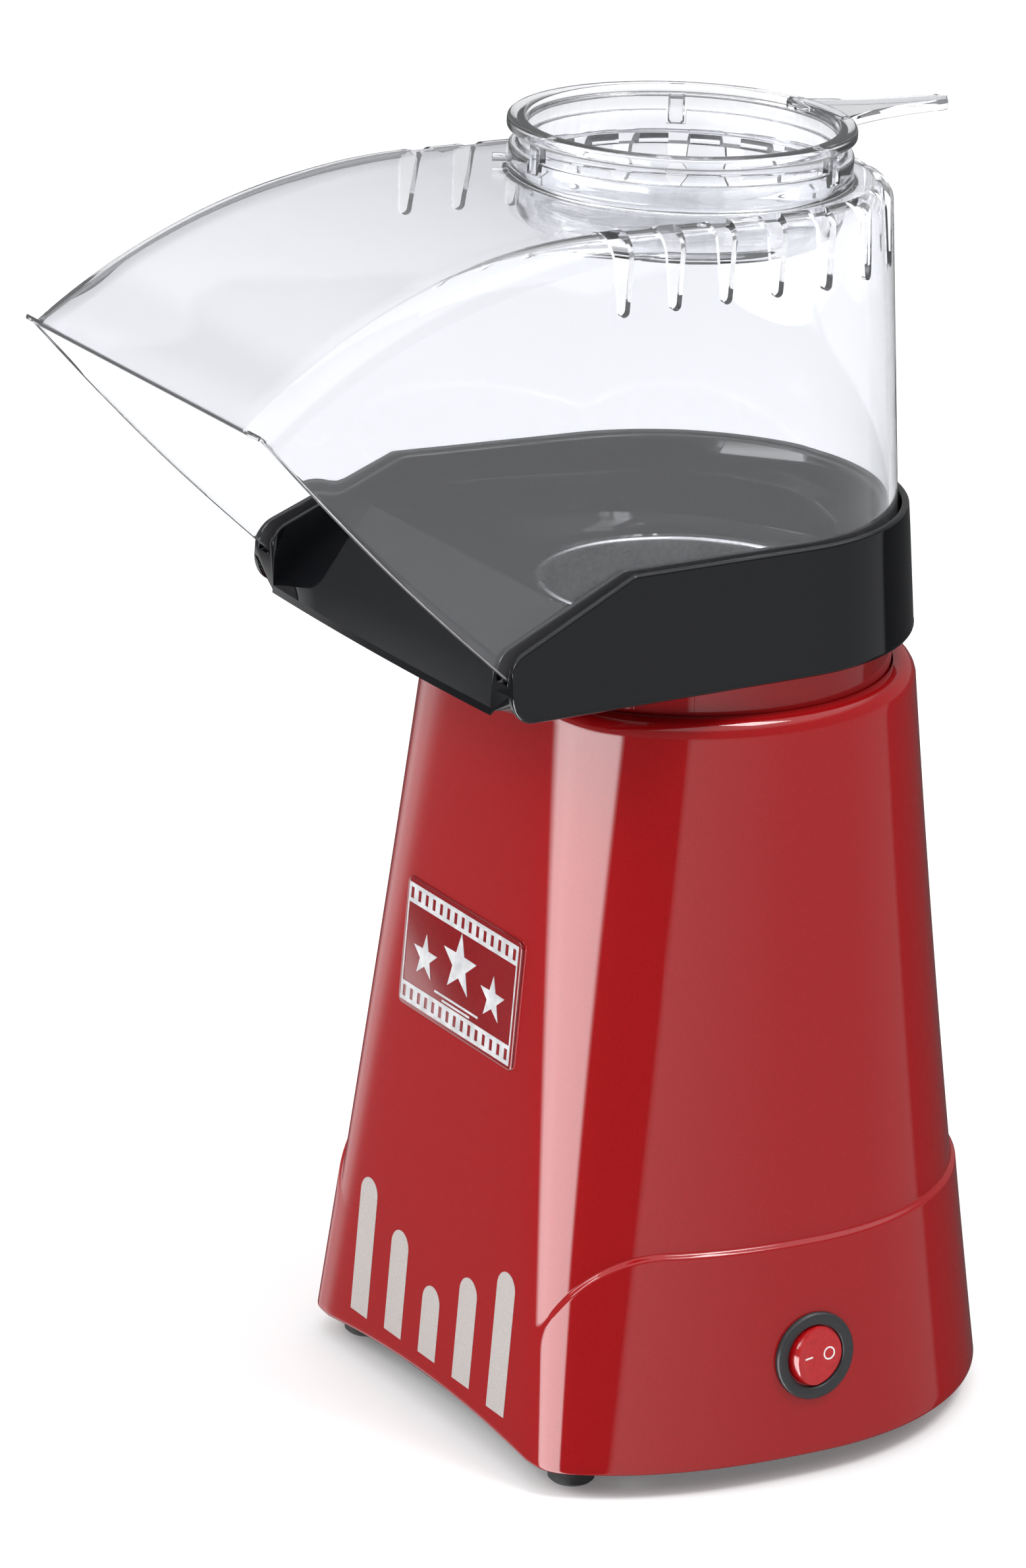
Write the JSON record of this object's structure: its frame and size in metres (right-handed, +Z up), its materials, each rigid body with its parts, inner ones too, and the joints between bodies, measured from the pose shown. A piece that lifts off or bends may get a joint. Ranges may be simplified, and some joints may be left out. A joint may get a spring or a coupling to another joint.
{
  "type": "popcorn maker",
  "caption": "Hot-air popcorn maker with a flared red body, black chute tray, lift-off clear hood and measuring cup lid, and a side rocker switch.",
  "frame": {"origin": "on the table, under the middle of the whole outline, with +Z up", "axes": "+Z up, -Y towards the front where popcorn leaves, +X towards the side with the switch"},
  "size_m": [0.1601, 0.2462, 0.3375],
  "materials": {
    "red_gloss": "glossy metallic red moulding",
    "black_gloss": "glossy black moulding",
    "clear_plastic": "clear polycarbonate",
    "badge_metal": "badge with a printed film strip frame",
    "stripe_print": "silver-beige printed stripe",
    "rocker_red": "translucent red switch rocker",
    "black_matte": "satin black moulding",
    "grey_plastic": "dark heat-resistant moulding",
    "ivory_plastic": "ivory nylon",
    "rubber": "black rubber",
    "aluminium": "drawn aluminium",
    "steel": "zinc plated steel",
    "brass": "sintered bronze and brass",
    "mica": "mica sheet",
    "resistance_wire": "resistance wire",
    "silicone_red": "red silicone",
    "ceramic": "ceramic and steel",
    "board_green": "circuit board"
  },
  "bodies": {
    "root": {"body_shell": "red_gloss", "neck_ring": "red_gloss", "base_plate": "grey_plastic", "rubber_feet": "rubber", "base_screws": "steel", "post_screws": "steel", "chute_tray": "black_gloss", "tray_screws": "steel", "badge_plate": "badge_metal", "front_stripes": "stripe_print", "switch_bezel": "black_matte", "switch_body": "black_matte", "switch_terminals": "brass", "popping_chamber": "aluminium", "chamber_gasket": "silicone_red", "air_jacket": "grey_plastic", "jacket_screws": "steel", "heater_frame": "mica", "heater_coil": "resistance_wire", "thermostat": "ceramic", "thermal_fuse": "ceramic", "fan_housing": "grey_plastic", "motor_can": "steel", "motor_end_bell": "black_matte", "motor_bearings": "brass", "motor_mount": "steel", "mount_screws": "steel", "rectifier_board": "board_green", "rectifier_diodes": "black_matte", "cord_gland": "rubber", "cord_clamp": "black_matte"},
    "hood": {"clear_hood": "clear_plastic"},
    "cup": {"measuring_cup": "clear_plastic"},
    "rocker": {"switch_rocker": "rocker_red"},
    "rotor": {"fan_impeller": "ivory_plastic", "motor_shaft": "steel"}
  },
  "joints": [
    {"name": "hood_lift", "type": "slide", "parent": "root", "child": "hood", "axis": [0, 0, 1], "range_m": [0, 0.06]},
    {"name": "cup_lift", "type": "slide", "parent": "hood", "child": "cup", "axis": [0, 0, 1], "range_m": [0, 0.04]},
    {"name": "rocker_turn", "type": "hinge", "parent": "root", "child": "rocker", "pos_m": [0.07519, 0.0359, 0.03283], "axis": [-0.0849, 0, 0.9964], "range_deg": [-20, 0]},
    {"name": "fan_spin", "type": "hinge", "parent": "root", "child": "rotor", "pos_m": [0, 0.0359, 0.09], "axis": [0, 0, 1], "continuous": true}
  ]
}
